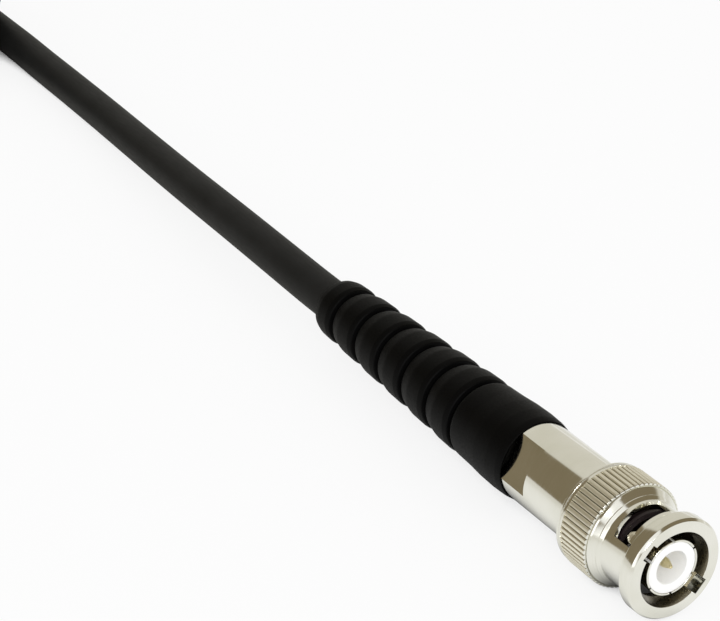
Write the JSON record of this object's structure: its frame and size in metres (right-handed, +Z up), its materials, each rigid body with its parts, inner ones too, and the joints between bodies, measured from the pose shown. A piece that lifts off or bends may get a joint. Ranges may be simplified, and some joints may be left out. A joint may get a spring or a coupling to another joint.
{
  "type": "oscilloscope probe",
  "caption": "Passive oscilloscope probe: bayonet coaxial plug with ringed strain relief, folded lead tied in a hank, and a slim probe head with switch and trimmer.",
  "frame": {"origin": "centre of the plug's outer contact at its front rim, the reference plane of the coaxial interface", "axes": "+X along the plug's axis towards the jack, +Z up from the flat surface that the part lies on, +Y completes the right hand"},
  "size_m": [0.5135, 0.0598, 0.0159],
  "materials": {
    "polished_nickel": "polished",
    "satin_nickel": "polished",
    "gold_plate": "polished",
    "ptfe": "satin",
    "silicone": "matte",
    "spring_steel": "satin",
    "tinned_braid": "satin",
    "polyethylene": "satin",
    "copper": "satin",
    "black_rubber": "satin",
    "grey_jacket": "satin",
    "black_fabric": "matte",
    "dark_plastic": "satin",
    "nose_plastic": "satin",
    "board_laminate": "gloss",
    "resistor_ceramic": "gloss",
    "switch_plastic": "matte",
    "knob_plastic": "satin",
    "trimmer_ceramic": "satin",
    "trimmer_brass": "polished"
  },
  "bodies": {
    "root": {"plug_body": "satin_nickel", "outer_contact": "satin_nickel", "crimp_ferrule": "satin_nickel", "ground_barrel": "satin_nickel", "cable_clamp": "satin_nickel", "centre_pin": "gold_plate", "probe_tip": "gold_plate", "front_insulator": "ptfe", "rear_insulator": "ptfe", "tip_insulator": "ptfe", "gasket": "silicone", "retaining_ring": "spring_steel", "wave_spring": "spring_steel", "plug_braid": "tinned_braid", "plug_dielectric": "polyethylene", "head_dielectric": "polyethylene", "plug_conductor": "copper", "head_conductor": "copper", "plug_boot": "black_rubber", "head_boot": "black_rubber", "plug_jacket": "grey_jacket", "cable_run": "grey_jacket", "cable_hank": "grey_jacket", "cable_lead": "grey_jacket", "head_jacket": "grey_jacket", "hank_tie": "black_fabric", "shell_upper": "dark_plastic", "shell_lower": "dark_plastic", "nose_sleeve": "nose_plastic", "circuit_board": "board_laminate", "tip_resistor": "resistor_ceramic", "switch_body": "switch_plastic", "trimmer_body": "trimmer_ceramic"},
    "nut_carrier": {"thrust_washer": "spring_steel"},
    "nut": {"coupling_nut": "polished_nickel"},
    "knob": {"switch_knob": "knob_plastic"},
    "trimmer": {"trimmer_screw": "trimmer_brass"}
  },
  "joints": [
    {"name": "nut_slide", "type": "slide", "parent": "root", "child": "nut_carrier", "axis": [1, 0, 0], "range_m": [0, 0.001], "stiffness_N_per_m": 6000, "deforming": ["wave_spring"]},
    {"name": "nut_turn", "type": "hinge", "parent": "nut_carrier", "child": "nut", "pos_m": [0, 0, 0], "axis": [1, 0, 0], "continuous": true},
    {"name": "switch_slide", "type": "slide", "parent": "root", "child": "knob", "axis": [-1, 0, 0], "range_m": [0, 0.003]},
    {"name": "trimmer_turn", "type": "hinge", "parent": "root", "child": "trimmer", "pos_m": [-0.4245, 0.0018, 0], "axis": [0, 0, 1], "continuous": true}
  ]
}
